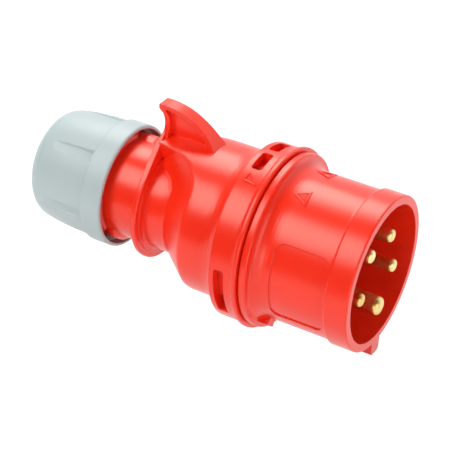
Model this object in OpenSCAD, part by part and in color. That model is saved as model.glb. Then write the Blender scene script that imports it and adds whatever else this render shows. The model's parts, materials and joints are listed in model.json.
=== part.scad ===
// Industrial pin and sleeve plug, 16 A, five pins.
// +X is the mating direction, +Z is up towards the hook, and the origin is the centre of the mouth.

/* [Front shroud] */
// Outside diameter of the collar at the mouth
mouth_d = 56.4; // [56.4:0.1:56.8]
// Wall of the collar at the mouth
mouth_wall = 3.15; // [3.0:0.05:3.3]
// Outside diameter of the sleeve behind the collar
sleeve_d = 54.4; // [54.2:0.1:54.8]
// Length of the collar
collar_len = 8.6; // [7:0.2:10]
// Depth from the mouth to the front flange
sleeve_len = 36.4; // [36:0.2:37]
// How far the front flange lies below the band behind it
flange_in = 0.4; // [0.2:0.1:0.8]
// Width of the key
key_w = 6.2; // [5:0.2:7]
// Radius out to the key's outer face
key_r = 33; // [31.4:0.2:33.4]
// Length of the key
key_len = 24; // [16:1:26]

/* [Rear housing] */
// Diameter of the band round the twist joint
band_d = 64.2; // [63.8:0.2:65]
// Height of the lip at the front of the band
lip_h = 1; // [0.7:0.1:1.3]
// Diameter of the body
body_d = 54.8; // [54.6:0.2:55.4]
// Diameter of the neck
neck_d = 36.4; // [36:0.2:37]
// Diameter of the thread on the neck
thread_d = 39.8; // [39:0.2:40]
// Diameter of the stop disc on the neck
disc_d = 44.8; // [43:0.2:46]
// Thickness of the stop disc
disc_t = 2; // [1.6:0.1:2.4]
// Thickness of the hook at its foot
hook_t = 8.2; // [7.6:0.2:9]
// Thickness of the hook at its tip
hook_top = 5.5; // [5:0.1:6]
// Radius of the hook's back
hook_r = 25.6; // [25.2:0.2:26]
// Thickness of the hook's web
hook_web = 1.6; // [1.4:0.2:2.4]

/* [Gland] */
// Diameter of the nut's rim
nut_d = 46.2; // [45.8:0.2:47]
// Number of grip flutes
flutes = 6; // [5:1:8]
// Diameter of the cable passage in the nut
cable_d = 20.4; // [19:0.2:21]
// Hole through the seal
seal_hole_d = 15; // [12:0.5:17]

/* [Pins] */
// Diameter of the pin circle
pin_circle_d = 26.66; // [26.4:0.1:27]
// Diameter of the line and neutral pins
line_pin_d = 5; // [4.8:0.1:5.2]
// Diameter of the earth pin
earth_pin_d = 7; // [6.8:0.1:7.2]
// Line pin tip, behind the mouth
line_tip = 1.2; // [0.8:0.2:5]
// Earth pin tip, ahead of the mouth
earth_tip = 0.5; // [-1.5:0.1:0.8]

/* [Fits] */
// Radial running clearance
fit = 0.08; // [0.05:0.01:0.09]
// Gap between faces that pass each other
gap = 0.35; // [0.3:0.05:0.5]

/* [Hidden] */
$fn = 96;
e = 0.01;
mouth_r = mouth_d / 2;
bore_r = mouth_r - mouth_wall;
sleeve_r = sleeve_d / 2;
band_r = band_d / 2;
flange_r = band_r - flange_in;
lip_r = band_r + lip_h;
body_r = body_d / 2;
neck_r = neck_d / 2;
thread_r = thread_d / 2;
nut_r = nut_d / 2;
pin_c = pin_circle_d / 2;
// Stations along the axis
x_f = -sleeve_len;
x_fb = x_f - 2.8;
x_b = x_fb - 0.4;
x_lug = x_b - 4.8;
x_be = x_b - 11;
x_sh = x_b - 24.8;
x_neck = x_sh - 15.4;
x_disc = x_b - 46.4;
x_ledge = x_disc - 4.2;
x_seal = x_ledge - 2.2;
x_end = x_b - 72.4;
x_rim = x_b - 61.15;
x_seat = x_f - 3.1;
// The twist joint
spigot_r = band_r - 3.7;
spigot_in = spigot_r - 2.5;
lug_r = spigot_r + 1.6;
groove_r = lug_r + gap;
lug_a = [30, 150, 270];
lug_half = 8;
twist = 40;
// The gland
bore_in = 15.6;
nut_bore = thread_r + gap;
cage_fl = nut_bore - 1.6;
x_step = x_rim - 18.8;
x_thrust = x_step - 4.7;
carrier_r = 22;
pin_a = [-90, -18, 54, 126, 198];

// Revolves a profile of [radius, x] points about the X axis.
module rev(pts) { rotate([0, 90, 0]) rotate_extrude() polygon(pts); }
// The same, from angle a0 to a1, counted from -Y up towards +Z.
module sector(a0, a1, pts) {
  rotate([0, 90, 0]) rotate([0, 0, -90 - a1]) rotate_extrude(angle = a1 - a0) polygon(pts);
}
module at(a) { rotate([-a, 0, 0]) children(); }
module ring(r0, r1, x0, x1) { rev([[r0, x0], [r1, x0], [r1, x1], [r0, x1]]); }
module rod(r, x0, x1) { translate([min(x0, x1), 0, 0]) rotate([0, 90, 0]) cylinder(r = r, h = abs(x1 - x0)); }
module block(r0, r1, x0, x1, a0, a1) { sector(a0, a1, [[r0, x0], [r1, x0], [r1, x1], [r0, x1]]); }
// Extrudes a [y, z] outline along X from x0 to x1.
module along_x(x0, x1, pts) { translate([x0, 0, 0]) rotate([90, 0, 90]) linear_extrude(x1 - x0) polygon(pts); }
// Extrudes an [x, z] outline along Y, centred.
module plate(t, pts) { rotate([90, 0, 0]) translate([0, 0, -t / 2]) linear_extrude(t) polygon(pts); }
function arc(cx, cy, r, a0, a1, n) =
  [for (i = [0:n]) [cx + r * cos(a0 + (a1 - a0) * i / n), cy + r * sin(a0 + (a1 - a0) * i / n)]];

module shroud_outer() {
  rev([[0, 0], [mouth_r - 0.5, 0], [mouth_r - 0.15, -0.15], [mouth_r, -0.5],
    [mouth_r, 0.3 - collar_len], [mouth_r - 0.12, 0.12 - collar_len], [sleeve_r + 0.3, -collar_len - 0.1],
    [sleeve_r + 0.1, -collar_len - 0.5], [sleeve_r, -collar_len - 1.2],
    [sleeve_r, x_f + 6.4], [sleeve_r + 0.1, x_f + 4.9], [sleeve_r + 0.3, x_f + 3.6],
    [sleeve_r + 0.65, x_f + 2.4], [sleeve_r + 1.15, x_f + 1.35], [sleeve_r + 1.8, x_f + 0.6],
    [sleeve_r + 2.6, x_f + 0.15], [flange_r - 1, x_f], [flange_r - 0.45, x_f], [flange_r - 0.12, x_f - 0.15], [flange_r, x_f - 0.5],
    [flange_r, x_fb + 0.4], [flange_r - 0.3, x_fb], [spigot_r, x_fb], [spigot_r, x_fb - 12], [spigot_r - 0.6, x_fb - 12.6],
    [0, x_fb - 12.6]]);
}
module key() {
  w = key_w / 2;
  along_x(-key_len, 0, [[-w, -sleeve_r + 2], [-w + 0.15, -key_r + 0.9], [-w + 0.9, -key_r + 0.1], [-w + 1.6, -key_r],
    [w - 1.6, -key_r], [w - 0.9, -key_r + 0.1], [w - 0.15, -key_r + 0.9], [w, -sleeve_r + 2]]);
}
// Shallow panel with round corners on each flank of the sleeve.
module panels() {
  for (s = [-1, 1]) intersection() {
    ring(sleeve_r - 0.45, sleeve_r + 3, x_f, 0);
    translate([0, s * 20, 0]) plate(24, concat(
      arc(-13.3, 11.6, 3, 0, 90, 6), arc(x_f + 9.6, 11.6, 3, 90, 180, 6),
      arc(x_f + 9.6, -11.6, 3, 180, 270, 6), arc(-13.3, -11.6, 3, 270, 360, 6)));
  }
}
module front_shroud() {
  color([0.85, 0.12, 0.07]) difference() {
    union() {
      shroud_outer();
      key();
      for (a = lug_a) block(spigot_r - 1, lug_r, x_lug - 0.15, x_lug - 4.35, a - lug_half, a + lug_half);
      for (a = [-52, 232]) block(sleeve_r - 1, sleeve_r + 2.8, x_f - 1, x_f + 4.2, a - 5, a + 5);
    }
    panels();
    // Latch slots, seen at the lower ends of the long windows
    for (a = [-34.5, 206.5]) block(spigot_in - 1, spigot_r + 2, x_lug - 0.3, x_lug - 3.9, a, a + 8);
    rod(bore_r, x_seat + 2, 1);
    rod(carrier_r + 1, x_f - 10, x_f);
    rod(spigot_in, x_fb - 20, x_seat);
  }
  // Snap ribs behind the carrier's flange
  color([0.85, 0.12, 0.07]) for (a = [-50, 70, 190]) sector(a - 7, a + 7,
    [[spigot_in + 0.6, x_seat - 4.3], [spigot_in - 0.7, x_seat - 4.3], [spigot_in - 0.7, x_seat - 4.9],
      [spigot_in + 0.6, x_seat - 6.2]]);
}
module joint_seal() {
  color([0.08, 0.08, 0.08]) ring(spigot_r, groove_r - 0.65, x_fb, x_fb - 1.8);
}
module well(r, x0, x1) { for (a = pin_a) at(a) translate([0, -pin_c, 0]) rod(r, x0, x1); }
x_well = x_seat - 3.8;
x_cb = x_seat - 20.5;
x_scr = x_cb + 5;
module pin_carrier() {
  color([0.16, 0.16, 0.17]) difference() {
    union() {
      rod(carrier_r + 0.9, x_seat, x_f - 0.6);
      rod(spigot_in - 0.1, x_seat - 4, x_seat);
      rod(carrier_r, x_cb, x_seat - 4);
    }
    for (i = [1:4]) at(pin_a[i]) translate([0, -pin_c, 0]) rod(line_pin_d / 2 + 0.35, x_well - 1, 0);
    at(pin_a[0]) translate([0, -pin_c, 0]) rod(earth_pin_d / 2 + 0.35, x_well - 1, 0);
    well(4.75, x_well, x_cb - 1);
    for (a = pin_a) at(a) translate([x_scr, -pin_c - 12, 0]) rotate([-90, 0, 0]) cylinder(r = 2.7, h = 12);
    rod(1.6, x_cb + 12, x_cb - 1);
    for (a = pin_a) at(a + 36) translate([0, -carrier_r + 1.6, 0]) rod(3.2, x_well - 2, x_cb - 1);
  }
}
module carrier_cap() {
  color([0.2, 0.2, 0.21]) difference() {
    union() {
      rod(carrier_r, x_cb - 2.6, x_cb);
      rod(5, x_cb - 3.4, x_cb - 2);
    }
    well(2.7, x_cb + 1, x_cb - 4);
    rod(2.1, x_cb + 1, x_cb - 5);
    for (a = pin_a) at(a + 36) translate([0, -carrier_r + 1.6, 0]) rod(3.2, x_cb + 1, x_cb - 5);
  }
}
module cap_screw() {
  color([0.75, 0.76, 0.78]) difference() {
    union() { rod(3.6, x_cb - 5.6, x_cb - 3.4); rod(1.55, x_cb + 11, x_cb - 4); }
    translate([x_cb - 5.6, 0, 0]) cube([1.6, 0.9, 8], center = true);
  }
}
// A contact pin: round nose, shank, collar and terminal barrel with its wire bore and screw hole.
module contact(r, tip) {
  translate([0, -pin_c, 0]) difference() {
    union() {
      rev([[0, -tip], [r * 0.55, -tip], [r * 0.72, -tip - 0.05 * r], [r * 0.86, -tip - 0.16 * r],
        [r * 0.96, -tip - 0.33 * r], [r, -tip - 0.55 * r], [r, x_f - 0.5], [r + 0.3, x_f - 0.5], [r + 0.3, x_well - 0.1],
        [0, x_well - 0.1]]);
      rod(max(4, r + 1), x_well - 2, x_well);
      rod(4.3, x_cb + 0.6, x_well - 1.5);
    }
    rod(2.2, x_cb - 1, x_cb + 9.6);
    translate([x_scr, -6, 0]) rotate([-90, 0, 0]) cylinder(r = 2, h = 6);
  }
}
brass = [0.80, 0.62, 0.30];
module earth_pin() { color(brass) at(pin_a[0]) contact(earth_pin_d / 2, -earth_tip); }
module line_pin_1() { color(brass) at(pin_a[1]) contact(line_pin_d / 2, line_tip); }
module line_pin_2() { color(brass) at(pin_a[2]) contact(line_pin_d / 2, line_tip); }
module line_pin_3() { color(brass) at(pin_a[3]) contact(line_pin_d / 2, line_tip); }
module neutral_pin() { color(brass) at(pin_a[4]) contact(line_pin_d / 2, line_tip); }
module terminal_screws() {
  color([0.75, 0.76, 0.78]) for (a = pin_a) at(a) translate([x_scr, -pin_c, 0]) difference() {
    translate([0, -6.6, 0]) rotate([-90, 0, 0]) cylinder(r = 1.95, h = 5.2);
    translate([0, -6.6, 0]) cube([4.4, 1.6, 0.8], center = true);
  }
}
// A thin leaf under each terminal screw, inside the wire bore.
module wire_guards() {
  color([0.82, 0.80, 0.76]) for (a = pin_a) at(a) translate([0, -pin_c - 1.2, 0])
    translate([x_cb + 0.4, -0.15, -1.3]) cube([8.8, 0.3, 2.6]);
}

// The shoulder, as [radius, x] points: its rounded edge, the cone and the root at the neck.
shoulder = [[body_r, x_sh + 0.6], [body_r - 0.1, x_sh - 0.7], [body_r - 0.35, x_sh - 1.6],
  [neck_r + 0.8, x_sh - 11.7], [neck_r + 0.3, x_sh - 12.5], [neck_r + 0.1, x_sh - 13.8]];
// How far the crest under the hook runs behind the shoulder, at angle a.
crest_c = body_r - 5;
crest_w = crest_c - 7.5;
function crest(a) = let (d = max(0, (crest_c - abs(body_r * cos(a))) / crest_w))
  d > 0.98 ? x_sh - x_disc : 20 * (1 - sqrt(1 - d * d));
crest_n = 36;
crest_p = concat([[body_r + 2, x_sh + 2]], [for (p = shoulder) [p[0] + 0.02, p[1]]], [[neck_r - 1.5, x_neck + 0.4]]);
crest_m = len(crest_p);
// One column of the crest's solid: its rear face from the rim down, then its front face.
function crest_col(i) = let (a = 36 + 108 * i / crest_n)
  concat([for (p = crest_p) [max(x_disc - 0.5, p[1] + 0.3 - crest(a)), -p[0] * cos(a), p[0] * sin(a)]],
    [for (p = crest_p) [x_sh + 6, -p[0] * cos(a), p[0] * sin(a)]]);
module crest_body() {
  m = crest_m;
  w = 2 * m;
  n = crest_n;
  polyhedron([for (i = [0:n]) for (p = crest_col(i)) p], concat(
    [for (i = [0:n - 1]) for (j = [0:m - 2]) for (f = [
      [i * w + j, i * w + j + 1, (i + 1) * w + j + 1], [i * w + j, (i + 1) * w + j + 1, (i + 1) * w + j],
      [i * w + m + j + 1, i * w + m + j, (i + 1) * w + m + j], [i * w + m + j + 1, (i + 1) * w + m + j, (i + 1) * w + m + j + 1]]) f],
    [for (i = [0:n - 1]) for (f = [
      [i * w, (i + 1) * w, (i + 1) * w + m], [i * w, (i + 1) * w + m, i * w + m],
      [i * w + m - 1, i * w + w - 1, (i + 1) * w + w - 1], [i * w + m - 1, (i + 1) * w + w - 1, (i + 1) * w + m - 1]]) f],
    [for (j = [0:m - 2]) for (f = [
      [j, m + j, m + j + 1], [j, m + j + 1, j + 1],
      [n * w + j + 1, n * w + m + j + 1, n * w + m + j], [n * w + j + 1, n * w + m + j, n * w + j]]) f]));
}
hook_c = [x_b - 47.8, body_r - 14.2];
hook_tip = x_b - 49.9;
function on_hook(x, r) = hook_c[1] + sqrt(r * r - (x - hook_c[0]) * (x - hook_c[0]));
module hook() {
  // Back of the hook, its tip, the throat behind it and the foot inside the body
  back = [for (i = [0:20]) let (x = hook_c[0] + 23.2 - (hook_c[0] + 23.2 - hook_tip) * i / 20) [x, on_hook(x, hook_r)]];
  z = on_hook(hook_tip, hook_r);
  inner = [for (i = [0:18]) let (x = hook_c[0] + 19.7 - 18.9 * i / 18) [x, on_hook(x, hook_r - 1.6)]];
  well = concat([[hook_c[0] + 19.7, body_r - 4]], inner,
    [[hook_tip + 2.4, z - 1.9], [hook_tip + 3.2, z - 2.7], [hook_tip + 4, z - 3.8], [hook_tip + 4.5, z - 5.2], [hook_tip + 4.7, z - 7],
      [hook_tip + 4.6, z - 9], [hook_tip + 4.6, body_r - 4]]);
  t = hook_t / 2;
  u = hook_top / 2;
  difference() {
    intersection() {
      plate(hook_t + 2, concat([[hook_c[0] + 23.4, body_r - 4]], back, [[hook_tip, z - 1.4], [x_disc - 1.8, neck_r - 2]]));
      along_x(x_disc - 5, x_b, [[-t, 0], [-t, body_r + 0.4], [-t + 0.6, body_r + 2], [-u - 0.3, body_r + 4.4], [-u, body_r + 7.6], [-u, 60],
        [u, 60], [u, body_r + 7.6], [u + 0.3, body_r + 4.4], [t - 0.6, body_r + 2], [t, body_r + 0.4], [t, 0]]);
    }
    for (s = [-1, 1]) difference() {
      translate([0, s * (hook_t + hook_web) / 2, 0]) plate(hook_t, well);
      rod(body_r - 0.02, x_disc - 5, x_b);
    }
  }
}
// What is cut away behind the hook, from under its tip down to the disc.
module throat() {
  z = on_hook(hook_tip, hook_r);
  plate(hook_t + 4, [[hook_tip - 4, z - 1.5], [hook_tip + 0.1, z - 1.5], [hook_tip + 0.8, z - 2.3], [hook_tip + 1.6, z - 2.9],
    [hook_tip + 2.2, z - 4], [hook_tip + 2.6, z - 5.4], [hook_tip + 2.8, z - 6.9], [hook_tip + 2.75, z - 8.6], [hook_tip + 2.5, z - 10.2],
    [hook_tip + 2.1, z - 11.6], [hook_tip + 1.5, z - 12.8], [hook_tip - 4, z - 12.8]]);
}
// The stop disc, drawn up to the foot of the hook.
module disc() {
  r = disc_d / 2;
  p = [hook_t / 2 - 0.3, body_r + 1.8];
  d = norm(p);
  t = 90 - atan2(p[0], p[1]) - acos((r - 0.06) / d);
  rev([[0, x_disc], [r - 0.35, x_disc], [r, x_disc - 0.35], [r, x_disc - disc_t + 0.35], [r - 0.35, x_disc - disc_t], [0, x_disc - disc_t]]);
  q = [(r - 0.06) * cos(t), (r - 0.06) * sin(t)];
  along_x(x_disc - disc_t, x_disc, [[0, 0], q, p, [-p[0], p[1]], [-q[0], q[1]]]);
  rev([[0, x_disc + 1], [neck_r + 0.1, x_disc + 1], [neck_r + 0.9, x_disc + 0.6], [neck_r + 2.1, x_disc + 0.5], [neck_r + 2.2, x_disc - 1], [0, x_disc - 1]]);
}
module rear_housing() {
  a0 = lug_half + 0.7;
  color([0.85, 0.12, 0.07]) difference() {
    union() {
      rev(concat([[0, x_b], [lip_r - 0.4, x_b], [lip_r - 0.1, x_b - 0.15], [lip_r, x_b - 0.5], [lip_r, x_b - 1.3],
        [lip_r - 0.3, x_b - 1.75], [band_r + 0.1, x_b - 2.4], [band_r, x_b - 3.1], [band_r, x_be + 0.5],
        [band_r - 0.1, x_be + 0.15], [band_r - 0.4, x_be], [band_r - 1.9, x_be - 0.2], [body_r + 2, x_be - 0.7],
        [body_r + 1.2, x_be - 1.8], [body_r + 0.6, x_be - 3.1], [body_r + 0.2, x_be - 4.7], [body_r, x_be - 6.4]],
        shoulder, [[neck_r, x_neck], [neck_r, x_end + 9.6], [thread_r - 0.2, x_end + 8.4], [thread_r, x_end + 8],
        [thread_r, x_end + 1], [thread_r - 1, x_end], [0, x_end]]));
      intersection() { rod(body_r, x_disc - 1, x_sh + 3); crest_body(); }
      difference() {
        union() { hook(); disc(); }
        throat();
      }
    }
    // Seat of the joint seal, bearing, and the lugs' grooves with their ways in
    rod(groove_r - 0.4, x_b + 1, x_b - 1.8);
    rod(spigot_r + fit, x_b + 1, x_fb - 13);
    for (a = lug_a) block(spigot_r - 1, groove_r, x_lug + 0.25, x_lug - 4.85, a - lug_half - 0.5, a + twist + a0);
    for (a = lug_a) block(spigot_r - 2, groove_r - 0.05, x_b - 1, x_lug - 1, a + twist - a0, a + twist + a0 - 0.2);
    // Windows in the band
    for (w = [[72, 89], [94, 113], [-35, 3], [177, 215]]) {
      block(spigot_r - 1, lip_r + 2, x_lug - 0.1, x_lug - 4.1, w[0] + 0.9, w[1] - 0.9);
      block(spigot_r - 1, lip_r + 2, x_lug - 0.6, x_lug - 3.6, w[0], w[1]);
    }
    // Inside of the body, the neck and the gland
    rev([[0, x_fb - 12.9], [body_r - 2.2, x_fb - 12.9], [body_r - 2.2, x_sh - 0.6], [bore_in + 1.2, x_sh - 10.6],
      [bore_in, x_sh - 12.8], [bore_in, x_ledge], [bore_in - 3.1, x_ledge], [bore_in - 3.1, x_seal], [bore_in, x_seal],
      [bore_in, x_end - 1], [0, x_end - 1]]);
    block(bore_in - 1, body_r - 2.3, x_sh + 1, x_disc + 4, 78, 102);
  }
}
module gland_seal() {
  color([0.1, 0.1, 0.1]) rev([[seal_hole_d / 2, x_seal - 0.3], [bore_in - 0.3, x_seal - 0.3], [bore_in - 0.3, x_seal - 7.4],
    [seal_hole_d / 2 + 2, x_seal - 7.4], [seal_hole_d / 2, x_seal - 6]]);
}
module clamp_cage() {
  color([0.72, 0.76, 0.77]) difference() {
    rev([[12, x_end + 3], [bore_in - fit, x_end + 3], [bore_in - fit, x_step - 1.4], [cage_fl - fit, x_step - 1.4],
      [cage_fl - fit, x_thrust + 0.8], [15.1, x_thrust + 0.8], [14.2, x_thrust - 5.6], [11.4, x_thrust - 8.2],
      [9.4, x_thrust - 8.2], [9.4, x_thrust - 5], [12, x_thrust + 2]]);
    for (a = [0:45:315]) rotate([a, 0, 0]) translate([x_thrust - 9, -0.9, 8]) cube([10, 1.8, 10]);
  }
}
module slip_washer() {
  color([0.9, 0.9, 0.88]) ring(15.6, cage_fl - 0.2, x_thrust + 0.05, x_thrust + 0.75);
}
module gland_nut() {
  x = x_rim;
  color([0.76, 0.82, 0.82]) difference() {
    rev([[0, x], [nut_r - 0.6, x], [nut_r - 0.15, x - 0.35], [nut_r, x - 1], [nut_r - 0.05, x - 7.9], [nut_r - 0.25, x - 8.25],
      [nut_r - 0.9, x - 8.45], [nut_r - 1, x - 10.2], [nut_r - 1.15, x - 15.2], [nut_r - 1.45, x - 20.2], [nut_r - 1.95, x - 24.7],
      [nut_r - 2.55, x - 28.2], [nut_r - 3.15, x - 30], [nut_r - 4, x - 31.4], [nut_r - 5.2, x - 32.6], [nut_r - 7, x - 33.8],
      [nut_r - 9.4, x - 34.9], [nut_r - 11.2, x - 35.6], [cable_d / 2 + 0.6, x - 36.2], [0, x - 36.2]]);
    rev([[0, x + 1], [nut_r - 1.1, x + 1], [nut_r - 1.3, x - 0.3], [nut_r - 1.5, x - 3.2], [nut_bore, x - 4], [nut_bore, x_step],
      [cage_fl, x_step], [cage_fl, x_thrust], [16.4, x_thrust], [15.5, x_thrust - 6.2], [11.9, x_thrust - 9.8],
      [cable_d / 2, x_thrust - 10.6], [cable_d / 2, x - 40], [0, x - 40]]);
    // Grip flutes, flat-bottomed, running out where the nut narrows
    for (i = [0:flutes - 1]) at(-11.5 + 360 / flutes * i) along_x(x - 34, x - 8.6, [[2.1 - nut_r, 1.5], [2.1 - nut_r, -1.5],
      [0.9 - nut_r, -2.6], [-nut_r - 1, -3.6], [-nut_r - 1, 3.6], [0.9 - nut_r, 2.6]]);
  }
}

front_shroud();
joint_seal();
pin_carrier();
carrier_cap();
cap_screw();
earth_pin();
line_pin_1();
line_pin_2();
line_pin_3();
neutral_pin();
terminal_screws();
wire_guards();
rear_housing();
gland_seal();
clamp_cage();
slip_washer();
gland_nut();
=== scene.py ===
import bpy, bmesh, json, math
from mathutils import Vector, Matrix


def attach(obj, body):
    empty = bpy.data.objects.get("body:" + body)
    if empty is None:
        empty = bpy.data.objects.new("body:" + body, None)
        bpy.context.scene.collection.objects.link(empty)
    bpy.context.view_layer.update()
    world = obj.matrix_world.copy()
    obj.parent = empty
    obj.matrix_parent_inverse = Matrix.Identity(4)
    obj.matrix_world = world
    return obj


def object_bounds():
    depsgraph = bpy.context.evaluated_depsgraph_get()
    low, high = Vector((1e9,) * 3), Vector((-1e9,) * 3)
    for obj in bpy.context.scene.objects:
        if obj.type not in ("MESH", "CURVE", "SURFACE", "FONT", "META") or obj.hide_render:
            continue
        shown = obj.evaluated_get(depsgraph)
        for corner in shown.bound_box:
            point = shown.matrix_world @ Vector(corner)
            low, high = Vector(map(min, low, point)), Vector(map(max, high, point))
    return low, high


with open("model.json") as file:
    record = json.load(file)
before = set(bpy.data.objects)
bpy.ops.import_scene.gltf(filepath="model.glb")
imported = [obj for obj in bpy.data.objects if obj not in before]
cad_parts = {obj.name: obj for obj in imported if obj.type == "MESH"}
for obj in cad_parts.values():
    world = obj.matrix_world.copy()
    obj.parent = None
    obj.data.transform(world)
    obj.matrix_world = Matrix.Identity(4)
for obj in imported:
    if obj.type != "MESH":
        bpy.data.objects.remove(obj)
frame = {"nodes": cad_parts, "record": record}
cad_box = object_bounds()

# The plug lies along X, its mouth at x = 0 and its cable end at low X. Lengths of the object are written
# in millimetres, as in the part's source, and MM turns them into metres. Angles round the axis are in
# degrees, counted from -Y up towards +Z.
MM = 0.001


# ---------------------------------------------------------------- camera
CAMERA_AZIMUTH, CAMERA_ELEVATION, CAMERA_ROLL = 28.222, 32.518, 3.496  # degrees, azimuth from -Y to +X
CAMERA_DISTANCE = 594.107  # mm from the point it looks at
CAMERA_AIM_X, CAMERA_AIM_UP = -61.995, -2.548  # mm along the plug, and up the picture
SENSOR_WIDTH, FOCAL_LENGTH = 36.0, 133.575775  # mm
CLIP_NEAR, CLIP_FAR = 0.01, 20.0  # m


def make_camera():
    """A camera fitted to the photograph. It aims at a point a little below the plug's axis."""
    az, el, roll = (math.radians(a) for a in (CAMERA_AZIMUTH, CAMERA_ELEVATION, CAMERA_ROLL))
    back = Vector((math.sin(az) * math.cos(el), -math.cos(az) * math.cos(el), math.sin(el)))
    level_right = Vector((math.cos(az), math.sin(az), 0))
    level_up = back.cross(level_right)
    right = math.cos(roll) * level_right + math.sin(roll) * level_up
    up = math.cos(roll) * level_up - math.sin(roll) * level_right
    place = (Vector((CAMERA_AIM_X, 0, 0)) + up * CAMERA_AIM_UP + back * CAMERA_DISTANCE) * MM
    data = bpy.data.cameras.new("camera")
    data.sensor_width = SENSOR_WIDTH
    data.lens = FOCAL_LENGTH
    data.clip_start, data.clip_end = CLIP_NEAR, CLIP_FAR
    camera = bpy.data.objects.new("camera", data)
    bpy.context.scene.collection.objects.link(camera)
    camera.matrix_world = Matrix(((right.x, up.x, back.x, place.x), (right.y, up.y, back.y, place.y),
                                  (right.z, up.z, back.z, place.z), (0, 0, 0, 1)))
    bpy.context.scene.camera = camera


make_camera()


# ---------------------------------------------------------------- node helpers
def node(nt, kind, inputs=None, **settings):
    """Add a node, set its properties, and set each input to a number or link it to a socket."""
    n = nt.nodes.new(kind)
    for key, value in settings.items():
        setattr(n, key, value)
    for key, value in (inputs or {}).items():
        if isinstance(value, bpy.types.NodeSocket):
            nt.links.new(value, n.inputs[key])
        else:
            n.inputs[key].default_value = value
    return n


def principled(name):
    """A new material with only its output and a principled shader: (material, node tree, shader)."""
    m = bpy.data.materials.new(name)
    m.use_nodes = True
    nt = m.node_tree
    nt.nodes.clear()
    shader = node(nt, "ShaderNodeBsdfPrincipled")
    node(nt, "ShaderNodeOutputMaterial", {"Surface": shader.outputs[0]})
    return m, nt, shader


def noise(nt, place, scale, detail, roughness=0.5):
    return node(nt, "ShaderNodeTexNoise", {"Vector": place, "Scale": scale, "Detail": detail,
                                           "Roughness": roughness}).outputs["Fac"]


def colour_ramp(nt, source, stops):
    """Colours from a value: stops are (position, red, green, blue)."""
    n = node(nt, "ShaderNodeValToRGB", {"Fac": source})
    marks = n.color_ramp.elements
    marks[0].position, marks[0].color = stops[0][0], (*stops[0][1:], 1)
    marks[1].position, marks[1].color = stops[-1][0], (*stops[-1][1:], 1)
    for position, *colour in stops[1:-1]:
        marks.new(position).color = (*colour, 1)
    return n.outputs["Color"]


def spread(nt, source, low, high, source_low=0.0, source_high=1.0):
    return node(nt, "ShaderNodeMapRange", {"Value": source, "From Min": source_low, "From Max": source_high,
                                           "To Min": low, "To Max": high}).outputs["Result"]


def bumped_edges(nt, height, strength, depth):
    """A fine bump over softened edges."""
    rounded = node(nt, "ShaderNodeBevel", {"Radius": EDGE_RADIUS}, samples=EDGE_SAMPLES).outputs["Normal"]
    return node(nt, "ShaderNodeBump", {"Height": height, "Strength": strength, "Distance": depth,
                                       "Normal": rounded}).outputs["Normal"]


# ---------------------------------------------------------------- materials
DRIFT_SCALE = 28.0  # slow change of colour; noise scales are per metre
FLOW_SCALE = (12.0, 70.0, 70.0)  # flow marks, drawn out along X
FLOW_DEPTH = 0.015  # how far they move the roughness
SKIN_SCALE, SKIN_DEPTH = 900.0, 0.2 * MM  # moulded skin
SCATTER = (0.0022, 0.0004, 0.0003)  # m that red, green and blue light go inside a plastic
RING_SCALE, RING_DEPTH = 420.0, 0.1 * MM  # turning rings
EDGE_RADIUS, EDGE_SAMPLES = 0.4 * MM, 6  # rounded edges in the shading


def moulded(name, base, dark, rough=0.4, spec=0.5, sss=0.0, grain=0.04, tint=(1, 1, 1)):
    """Moulded plastic: faint colour drift, flow marks along the axis, fine skin and rounded edges."""
    m, nt, shader = principled(name)
    place = node(nt, "ShaderNodeTexCoord").outputs["Object"]
    drift = noise(nt, place, DRIFT_SCALE, 3.0, 0.55)
    nt.links.new(colour_ramp(nt, drift, [(0.3, *dark), (0.62, *base)]), shader.inputs["Base Color"])
    along = node(nt, "ShaderNodeMapping", {"Vector": place, "Scale": FLOW_SCALE}).outputs["Vector"]
    flow = noise(nt, along, 1.0, 4.0, 0.6)
    roughness = spread(nt, flow, rough - FLOW_DEPTH, rough + FLOW_DEPTH, 0.3, 0.7)
    nt.links.new(roughness, shader.inputs["Roughness"])
    skin = noise(nt, place, SKIN_SCALE, 2.0, 0.6)
    nt.links.new(bumped_edges(nt, skin, grain, SKIN_DEPTH), shader.inputs["Normal"])
    shader.inputs["Specular IOR Level"].default_value = spec
    shader.inputs["Specular Tint"].default_value = (*tint, 1)
    shader.inputs["Subsurface Weight"].default_value = sss
    shader.inputs["Subsurface Radius"].default_value = SCATTER
    shader.inputs["Subsurface Scale"].default_value = 1.0
    return m


def turned_brass(name):
    """Brass off the lathe: fine turning rings along X, and a tone that goes from tan to pale gold."""
    m, nt, shader = principled(name)
    place = node(nt, "ShaderNodeTexCoord").outputs["Object"]
    rings = node(nt, "ShaderNodeTexWave",
                 {"Vector": place, "Scale": RING_SCALE, "Distortion": 0.6, "Detail": 2.0},
                 wave_type="BANDS", bands_direction="X").outputs["Fac"]
    tone = noise(nt, place, 160.0, 5.0, 0.65)
    colour = colour_ramp(nt, tone, [(0.3, 0.66, 0.42, 0.11), (0.5, 0.86, 0.65, 0.25), (0.72, 0.98, 0.88, 0.52)])
    nt.links.new(colour, shader.inputs["Base Color"])
    nt.links.new(spread(nt, tone, 0.20, 0.44), shader.inputs["Roughness"])
    nt.links.new(bumped_edges(nt, rings, 0.08, RING_DEPTH), shader.inputs["Normal"])
    shader.inputs["Metallic"].default_value = 1.0
    return m


def zinc_steel(name):
    """Zinc-plated steel of the inner screws and wire guards, in a mottled tone."""
    m, nt, shader = principled(name)
    place = node(nt, "ShaderNodeTexCoord").outputs["Object"]
    mottle = noise(nt, place, 260.0, 4.0)
    colour = colour_ramp(nt, mottle, [(0.3, 0.52, 0.53, 0.55), (0.7, 0.74, 0.75, 0.77)])
    nt.links.new(colour, shader.inputs["Base Color"])
    shader.inputs["Metallic"].default_value = 1.0
    shader.inputs["Roughness"].default_value = 0.32
    return m


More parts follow.
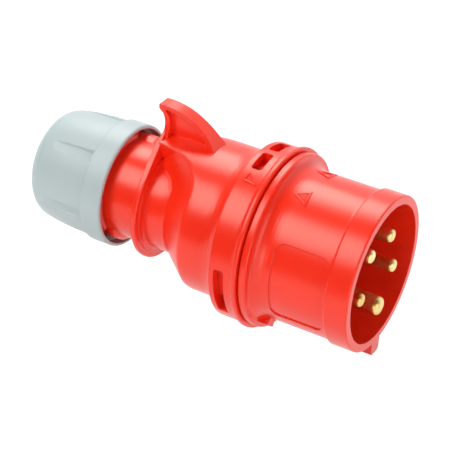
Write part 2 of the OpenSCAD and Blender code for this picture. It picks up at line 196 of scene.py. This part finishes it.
RED = moulded("red_plastic", (0.95, 0.026, 0.006), (0.91, 0.022, 0.005), rough=0.29, spec=0.6, sss=0.03,
              tint=(1.0, 0.95, 0.86))
PAINT = {
    "red_plastic": RED,
    "grey_plastic": moulded("grey_plastic", (0.458, 0.552, 0.570), (0.445, 0.538, 0.556), rough=0.42,
                            sss=0.05, grain=0.06),
    "black_plastic": moulded("carrier_plastic", (0.030, 0.030, 0.032), (0.022, 0.022, 0.024), rough=0.5,
                             grain=0.08),
    "white_plastic": moulded("washer_plastic", (0.8, 0.8, 0.76), (0.75, 0.75, 0.7)),
    "rubber": moulded("seal_rubber", (0.022, 0.022, 0.022), (0.016, 0.016, 0.016), rough=0.7, spec=0.3,
                      grain=0.2),
    "brass": turned_brass("turned_brass"),
    "steel": zinc_steel("zinc_steel"),
}


def dress():
    """Give each solid of the frame the material of its slot."""
    slot_of = {part["node"]: part["material_slot"] for part in frame["record"]["subparts"]}
    for name, ob in frame["nodes"].items():
        material = PAINT[slot_of[name]]
        if not ob.material_slots:
            ob.data.materials.append(material)
        for slot in ob.material_slots:
            slot.material = material


dress()


# ---------------------------------------------------------------- moulded marks and the thread
BAND_R = 32.1  # radius of the rear housing's band
SLEEVE_R = 27.2  # the sleeve behind its collar
NECK_R, THREAD_R = 18.2, 19.9  # the neck, and the top of its thread
THREAD_BACK = -104.2  # just inside the solid's own thread, under the nut
SUNK = 0.2  # how far a mark's foot is inside the housing
MITRE_MIN = 0.3  # keeps the inset of a sharp corner from running away


def on_cylinder(x, angle, r):
    """The point at x, at an angle round the axis, and r mm from it."""
    t = math.radians(angle)
    return Vector((x, -r * math.cos(t), r * math.sin(t))) * MM


def red_piece(name, bm, body):
    """A piece of red plastic that rides on a body of the frame."""
    mesh = bpy.data.meshes.new(name)
    bmesh.ops.recalc_face_normals(bm, faces=bm.faces)
    bm.to_mesh(mesh)
    bm.free()
    mesh.materials.append(RED)
    ob = bpy.data.objects.new(name, mesh)
    bpy.context.scene.collection.objects.link(ob)
    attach(ob, body)
    return ob


def bridge(bm, row, next_row):
    """Faces between two closed rows of points."""
    count = len(row)
    for i in range(count):
        j = (i + 1) % count
        bm.faces.new((row[i], row[j], next_row[j], next_row[i]))


def inset(corners, distance):
    """A closed outline moved inwards by a distance."""
    count = len(corners)
    ends = [corners[(i + 1) % count] for i in range(count)]
    area = sum(a.x * b.y - b.x * a.y for a, b in zip(corners, ends))
    side = 1 if area > 0 else -1
    moved = []
    for i, corner in enumerate(corners):
        before = (corner - corners[i - 1]).normalized()
        after = (ends[i] - corner).normalized()
        normal_before = Vector((-before.y, before.x)) * side
        normal_after = Vector((-after.y, after.x)) * side
        mitre = (normal_before + normal_after).normalized()
        moved.append(corner + mitre * (distance / max(MITRE_MIN, mitre.dot(normal_before))))
    return moved


def raised_outline(name, corners, r, body, width=0.8, height=0.42):
    """A moulded outline that stands off a cylinder: corners are (x, angle) pairs round a closed shape."""
    step, soft = 0.6, 0.22  # between points along a side, and off the two upper edges
    flat = [Vector((x, math.radians(angle) * r)) for x, angle in corners]
    count = len(flat)
    rails = [(0, -SUNK), (0, height - soft), (soft, height), (width - soft, height), (width, height - soft),
             (width, -SUNK)]
    bm = bmesh.new()
    rings = []
    for inwards, rise in rails:
        outline = inset(flat, inwards)
        ring = []
        for i in range(count):
            j = (i + 1) % count
            cuts = max(2, math.ceil((flat[j] - flat[i]).length / step))
            for k in range(cuts):
                p = outline[i].lerp(outline[j], k / cuts)
                ring.append(bm.verts.new(on_cylinder(p.x, math.degrees(p.y / r), r + rise)))
        rings.append(ring)
    for i, ring in enumerate(rings):
        bridge(bm, ring, rings[(i + 1) % len(rings)])
    red_piece(name, bm, body)


def thread_lands(name, body, lands):
    """The moulded thread's first lands, which die away at both ends: (front x, first angle, last angle)."""
    steps, ends = 24, 0.2  # rows along a land, and the share of it that each end takes
    sunk = 0.3
    root = NECK_R - sunk
    steep, shallow = 0.6, 1.4  # mm from the front edge to the shoulder, in the middle and at the ends
    shoulder, rounding = 0.85, 0.4  # height as a share of the whole, and mm from there to the top
    bm = bmesh.new()
    for front, first, last in lands:
        rows = []
        for i in range(steps + 1):
            t = i / steps
            fade = min(1.0, min(t, 1 - t) / ends)
            rise = fade * fade * (3 - 2 * fade)
            flank = shallow - (shallow - steep) * rise
            full = root + (THREAD_R - root) * rise
            edge = root + (THREAD_R - root) * rise * shoulder
            foot = root - 0.5 * sunk
            section = [(front + 0.05, foot), (front, root), (front - flank, edge),
                       (front - flank - rounding, full), (0.5 * (front + THREAD_BACK), full),
                       (THREAD_BACK, full), (THREAD_BACK, foot)]
            angle = first + (last - first) * t
            rows.append([bm.verts.new(on_cylinder(x, angle, r)) for x, r in section])
        for row, next_row in zip(rows, rows[1:]):
            bridge(bm, row, next_row)
        bm.faces.new(rows[0])
        bm.faces.new(rows[-1][::-1])
    ob = red_piece(name, bm, body)
    for face in ob.data.polygons:
        face.use_smooth = True


thread_lands("neck_thread", "rear", [(-94.6, 101, 168), (-98.2, 262, 328)])
raised_outline("lock_mark", [(-47.7, 69.7), (-42.6, 60.3), (-48.4, 61.7)], BAND_R, "rear", width=0.7)
raised_outline("arrow_mark", [(-32.2, 70.3), (-26.3, 77.0), (-25.7, 62.6)], SLEEVE_R, "front")
raised_outline("arrow_core", [(-30.2, 70.6), (-27.3, 73.6), (-27.1, 66.9)], SLEEVE_R, "front", height=0.32)
raised_outline("top_mark", [(-32.8, 107.0), (-25.9, 114.4), (-25.9, 99.3)], SLEEVE_R, "front")


# ---------------------------------------------------------------- floor, room and lamps (metres and watts)
FLOOR_FRONT, FLOOR_SIDE, FLOOR_BACK = -0.17, 2.2, 3.0
FLOOR_GAP = 0.0004  # under the lowest point of the object
FLOOR_LIT, FLOOR_SEEN = 0.82, 0.20  # how pale it is to the object, and how much shadow the camera sees
ROOM_DARK, BACKDROP = 0.10, 1.0
WARM = (1.0, 0.965, 0.93)
MID = Vector((-0.062, 0, 0))  # near the middle of the object, where the lamps aim
WHITE = (1, 1, 1, 1)


def any_ray(nt, *kinds):
    """1 where the ray is one of these kinds of Light Path."""
    path = node(nt, "ShaderNodeLightPath")
    found = path.outputs[kinds[0]]
    for kind in kinds[1:]:
        found = node(nt, "ShaderNodeMath", {0: found, 1: path.outputs[kind]}, operation="MAXIMUM").outputs[0]
    return found


def make_floor():
    """A pale floor: plain white with a faint shadow where it is seen, and an ordinary floor to other rays.
    It ends a short way in front of the object, so that the room there stays dark in the sides."""
    z = cad_box[0][2] - FLOOR_GAP
    mesh = bpy.data.meshes.new("floor")
    mesh.from_pydata([(-FLOOR_SIDE, FLOOR_FRONT, z), (FLOOR_SIDE, FLOOR_FRONT, z), (FLOOR_SIDE, FLOOR_BACK, z),
                      (-FLOOR_SIDE, FLOOR_BACK, z)], [], [(0, 1, 2, 3)])
    ob = bpy.data.objects.new("floor", mesh)
    bpy.context.scene.collection.objects.link(ob)
    m = bpy.data.materials.new("floor")
    m.use_nodes = True
    nt = m.node_tree
    nt.nodes.clear()
    seen = any_ray(nt, "Is Camera Ray", "Is Glossy Ray", "Is Transmission Ray")
    lit = node(nt, "ShaderNodeBsdfDiffuse", {"Color": (FLOOR_LIT, FLOOR_LIT, FLOOR_LIT, 1)})
    pale = node(nt, "ShaderNodeBsdfDiffuse", {"Color": (FLOOR_SEEN, FLOOR_SEEN, FLOOR_SEEN, 1)})
    glow = node(nt, "ShaderNodeEmission", {"Strength": 1.0})
    white = node(nt, "ShaderNodeAddShader", {0: pale.outputs[0], 1: glow.outputs[0]})
    either = node(nt, "ShaderNodeMixShader", {0: seen, 1: lit.outputs[0], 2: white.outputs[0]})
    node(nt, "ShaderNodeOutputMaterial", {"Surface": either.outputs[0]})
    mesh.materials.append(m)


def make_room():
    """A world that is plain white to camera and transmission rays. Every other ray, reflections too, finds a
    studio that is white behind the object and dark in front, which gives the plastic its dark sides."""
    world = bpy.data.worlds.new("world")
    bpy.context.scene.world = world
    world.use_nodes = True
    nt = world.node_tree
    nt.nodes.clear()
    direction = node(nt, "ShaderNodeTexCoord").outputs["Generated"]
    depth = node(nt, "ShaderNodeSeparateXYZ", {0: direction}).outputs["Y"]
    behind = node(nt, "ShaderNodeMapRange", {"Value": depth, "From Min": 0.05, "From Max": 0.6,
                                             "To Min": ROOM_DARK, "To Max": BACKDROP},
                  interpolation_type="SMOOTHSTEP")
    room = node(nt, "ShaderNodeBackground", {"Color": WHITE, "Strength": behind.outputs["Result"]})
    white = node(nt, "ShaderNodeBackground", {"Color": WHITE, "Strength": 1.0})
    seen = any_ray(nt, "Is Camera Ray", "Is Transmission Ray")
    either = node(nt, "ShaderNodeMixShader", {0: seen, 1: room.outputs[0], 2: white.outputs[0]})
    node(nt, "ShaderNodeOutputWorld", {"Surface": either.outputs[0]})


def softbox(name, toward, distance, size, power):
    """A square lamp at a distance along a direction from the middle of the object, aimed at it."""
    lamp = bpy.data.lights.new(name, "AREA")
    lamp.shape = "SQUARE"
    lamp.size = size
    lamp.energy = power
    lamp.color = WARM
    ob = bpy.data.objects.new(name, lamp)
    bpy.context.scene.collection.objects.link(ob)
    direction = Vector(toward).normalized()
    ob.location = MID + direction * distance
    ob.rotation_euler = (-direction).to_track_quat("-Z", "Y").to_euler()


make_floor()
make_room()
softbox("front_softbox", (-0.40, -0.54, 0.74), 1.02, 0.62, 6.6)
softbox("rear_softbox", (-0.40, 0.48, 0.78), 1.02, 0.54, 5.6)
softbox("low_fill", (0.22, -0.95, 0.03), 1.0, 0.5, 1.9)
softbox("side_fill", (0.88, -0.38, 0.12), 1.0, 0.9, 4.8)

bpy.context.scene.view_settings.view_transform = "Standard"
